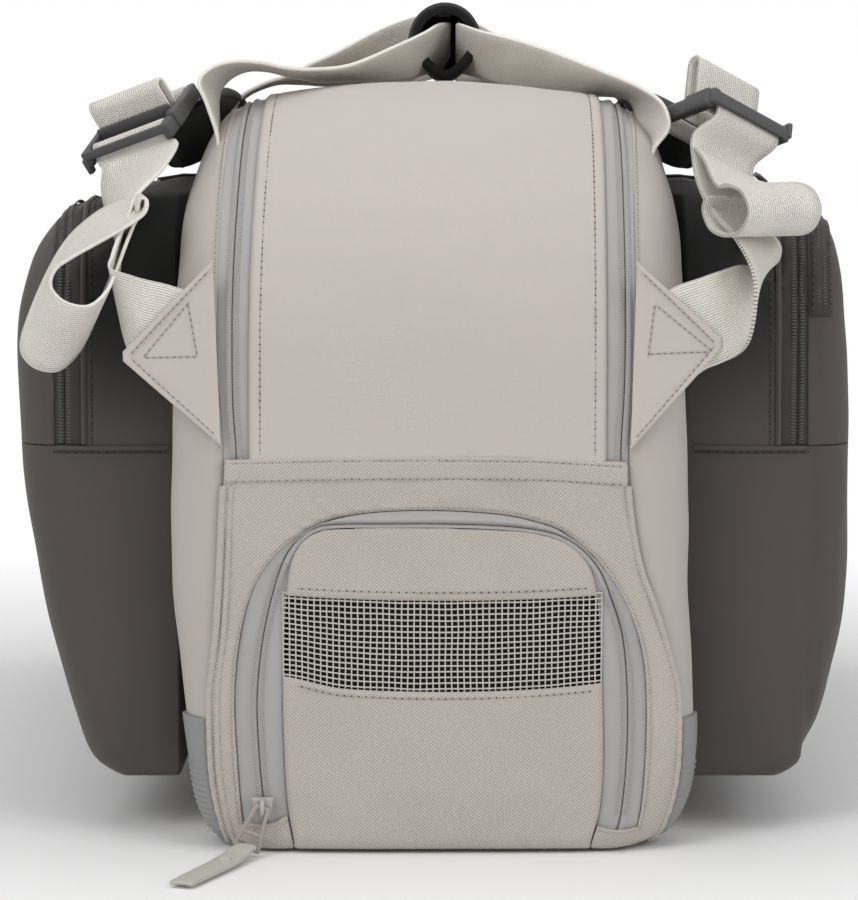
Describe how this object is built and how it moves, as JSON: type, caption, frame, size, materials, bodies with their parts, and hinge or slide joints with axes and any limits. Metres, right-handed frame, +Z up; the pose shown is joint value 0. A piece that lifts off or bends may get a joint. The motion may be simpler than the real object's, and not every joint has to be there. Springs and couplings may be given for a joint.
{
  "type": "racket bag",
  "caption": "Soft racket bag with a lid along its top, a compartment on each side, a mesh shoe pocket in its end, carry handles and padded shoulder straps.",
  "frame": {"origin": "middle of the base panel, on the floor", "axes": "+X to the right, +Y from the shoe pocket's end to the far end, +Z up"},
  "size_m": [0.3892, 0.6301, 0.397],
  "materials": {
    "body_fabric": "coated canvas weave, warm light grey",
    "lid_fabric": "fine smooth weave, warm light grey",
    "webbing": "ribbed webbing, warm grey",
    "zip_tape": "cool grey zip tape with a coil",
    "dark_fabric": "charcoal coated weave",
    "black_fabric": "black lining and padding",
    "mesh": "open net, light grey",
    "guard": "moulded matt rubber, cool grey",
    "slider_metal": "painted zip slider",
    "dark_slider": "painted zip slider, dark",
    "puller": "moulded puller",
    "dark_puller": "moulded puller, dark",
    "tab": "soft moulded tab",
    "buckle": "moulded dark grey plastic"
  },
  "bodies": {
    "bag": {"base_panel": "guard", "base_board": "black_fabric", "side_wall_left": "body_fabric", "side_wall_right": "body_fabric", "near_panel": "body_fabric", "far_panel": "body_fabric", "lid_near_panel": "lid_fabric", "seam_band": "body_fabric", "end_piping": "body_fabric", "corner_guards": "guard", "gusset_left": "body_fabric", "gusset_right": "body_fabric", "main_zip_tape": "zip_tape", "shoe_zip_tape": "zip_tape", "shoe_zip_tabs": "webbing", "shoe_divider": "black_fabric", "strap_anchors": "black_fabric", "racket_shell_left": "dark_fabric", "racket_shell_right": "dark_fabric", "racket_zip_left": "black_fabric", "racket_zip_right": "black_fabric", "adjuster_web_left": "webbing", "adjuster_web_right": "webbing"},
    "lid": {"lid_flap": "lid_fabric", "lid_zip_tape": "zip_tape"},
    "shoe_flap": {"shoe_flap_top": "lid_fabric", "shoe_flap_mesh": "mesh", "shoe_flap_lower": "lid_fabric", "shoe_flap_zip": "zip_tape"},
    "shoe_slider": {"shoe_slider": "slider_metal"},
    "shoe_puller": {"shoe_puller": "puller", "shoe_pull_tab": "tab", "shoe_pull_stud": "tab"},
    "main_slider_left": {"main_slider_left": "slider_metal"},
    "main_slider_right": {"main_slider_right": "slider_metal"},
    "main_puller_left": {"main_puller_left": "puller"},
    "main_puller_right": {"main_puller_right": "puller"},
    "racket_flap_left": {"racket_flap_left": "dark_fabric", "racket_flap_zip_left": "black_fabric"},
    "racket_flap_right": {"racket_flap_right": "dark_fabric", "racket_flap_zip_right": "black_fabric", "accessory_zip": "black_fabric"},
    "racket_slider_left": {"racket_slider_left": "dark_slider"},
    "racket_slider_right": {"racket_slider_right": "dark_slider"},
    "racket_puller_left": {"racket_puller_left": "dark_puller"},
    "racket_puller_right": {"racket_puller_right": "dark_puller"},
    "accessory_slider": {"accessory_slider": "dark_slider"},
    "accessory_puller": {"accessory_puller": "dark_puller"},
    "handles": {"handle_grip": "black_fabric", "handle_web_left": "webbing", "handle_web_right": "webbing"},
    "strap_left": {"strap_pad_left": "black_fabric", "strap_tongue_left": "webbing"},
    "strap_right": {"strap_pad_right": "black_fabric", "strap_tongue_right": "webbing"},
    "lock_left": {"ladder_lock_left": "buckle", "lock_web_left": "webbing"},
    "lock_right": {"ladder_lock_right": "buckle", "lock_web_right": "webbing"}
  },
  "joints": [
    {"name": "lid_fold", "type": "hinge", "parent": "bag", "child": "lid", "pos_m": [0, 0.105, 0.352], "axis": [1, 0, 0], "range_deg": [0, 95]},
    {"name": "shoe_flap_fold", "type": "hinge", "parent": "bag", "child": "shoe_flap", "pos_m": [0, -0.2752, 0.009], "axis": [1, 0, 0], "range_deg": [0, 80]},
    {"name": "shoe_zip", "type": "slide", "parent": "bag", "child": "shoe_slider", "axis": [0, 0, 1], "range_m": [0, 0.07]},
    {"name": "shoe_puller_swing", "type": "hinge", "parent": "shoe_slider", "child": "shoe_puller", "pos_m": [-0.0789, -0.2805, 0.0235], "axis": [-1, 0, 0], "range_deg": [0, 100]},
    {"name": "main_zip_left", "type": "slide", "parent": "bag", "child": "main_slider_left", "axis": [-1, 0, 0], "range_m": [0, 0.07]},
    {"name": "main_zip_right", "type": "slide", "parent": "bag", "child": "main_slider_right", "axis": [1, 0, 0], "range_m": [0, 0.07]},
    {"name": "main_puller_left_swing", "type": "hinge", "parent": "main_slider_left", "child": "main_puller_left", "pos_m": [-0.0062, 0.2809, 0.26315], "axis": [1, 0, 0], "range_deg": [0, 100]},
    {"name": "main_puller_right_swing", "type": "hinge", "parent": "main_slider_right", "child": "main_puller_right", "pos_m": [0.0062, 0.2809, 0.26315], "axis": [1, 0, 0], "range_deg": [0, 100]},
    {"name": "racket_flap_left_fold", "type": "hinge", "parent": "bag", "child": "racket_flap_left", "pos_m": [-0.1946, 0, 0.187], "axis": [0, -1, 0], "range_deg": [0, 65]},
    {"name": "racket_flap_right_fold", "type": "hinge", "parent": "bag", "child": "racket_flap_right", "pos_m": [0.1946, 0, 0.187], "axis": [0, 1, 0], "range_deg": [0, 65]},
    {"name": "racket_zip_left", "type": "slide", "parent": "bag", "child": "racket_slider_left", "axis": [0, 0, 1], "range_m": [0, 0.045]},
    {"name": "racket_zip_right", "type": "slide", "parent": "bag", "child": "racket_slider_right", "axis": [0, 0, 1], "range_m": [0, 0.045]},
    {"name": "racket_puller_left_swing", "type": "hinge", "parent": "racket_slider_left", "child": "racket_puller_left", "pos_m": [-0.1653, 0.2659, 0.195], "axis": [1, 0, 0], "range_deg": [0, 100]},
    {"name": "racket_puller_right_swing", "type": "hinge", "parent": "racket_slider_right", "child": "racket_puller_right", "pos_m": [0.1653, 0.2659, 0.195], "axis": [1, 0, 0], "range_deg": [0, 100]},
    {"name": "accessory_zip", "type": "slide", "parent": "racket_flap_right", "child": "accessory_slider", "axis": [0, -1, 0], "range_m": [0, 0.2]},
    {"name": "accessory_puller_swing", "type": "hinge", "parent": "accessory_slider", "child": "accessory_puller", "pos_m": [0.1863, 0.136, 0.29702], "axis": [0.766, 0, -0.6428], "range_deg": [0, 100]},
    {"name": "handle_lift", "type": "slide", "parent": "bag", "child": "handles", "axis": [0, 0, 1], "range_m": [0, 0.025], "deforming": ["handle_web_left", "handle_web_right"]},
    {"name": "strap_left_lift", "type": "hinge", "parent": "bag", "child": "strap_left", "pos_m": [-0.129, 0.212, 0.3178], "axis": [-1, 0, 0], "range_deg": [0, 6], "deforming": ["adjuster_web_left"]},
    {"name": "strap_right_lift", "type": "hinge", "parent": "bag", "child": "strap_right", "pos_m": [0.129, 0.212, 0.3178], "axis": [-1, 0, 0], "range_deg": [0, 6], "deforming": ["adjuster_web_right"]},
    {"name": "lock_left_tilt", "type": "hinge", "parent": "strap_left", "child": "lock_left", "pos_m": [-0.13206, -0.18623, 0.34153], "axis": [0.8408, -0.4504, 0.3003], "range_deg": [0, 20]},
    {"name": "lock_right_tilt", "type": "hinge", "parent": "strap_right", "child": "lock_right", "pos_m": [0.1266, -0.18286, 0.32733], "axis": [0.7561, 0.5288, -0.3856], "range_deg": [-20, 0]}
  ]
}
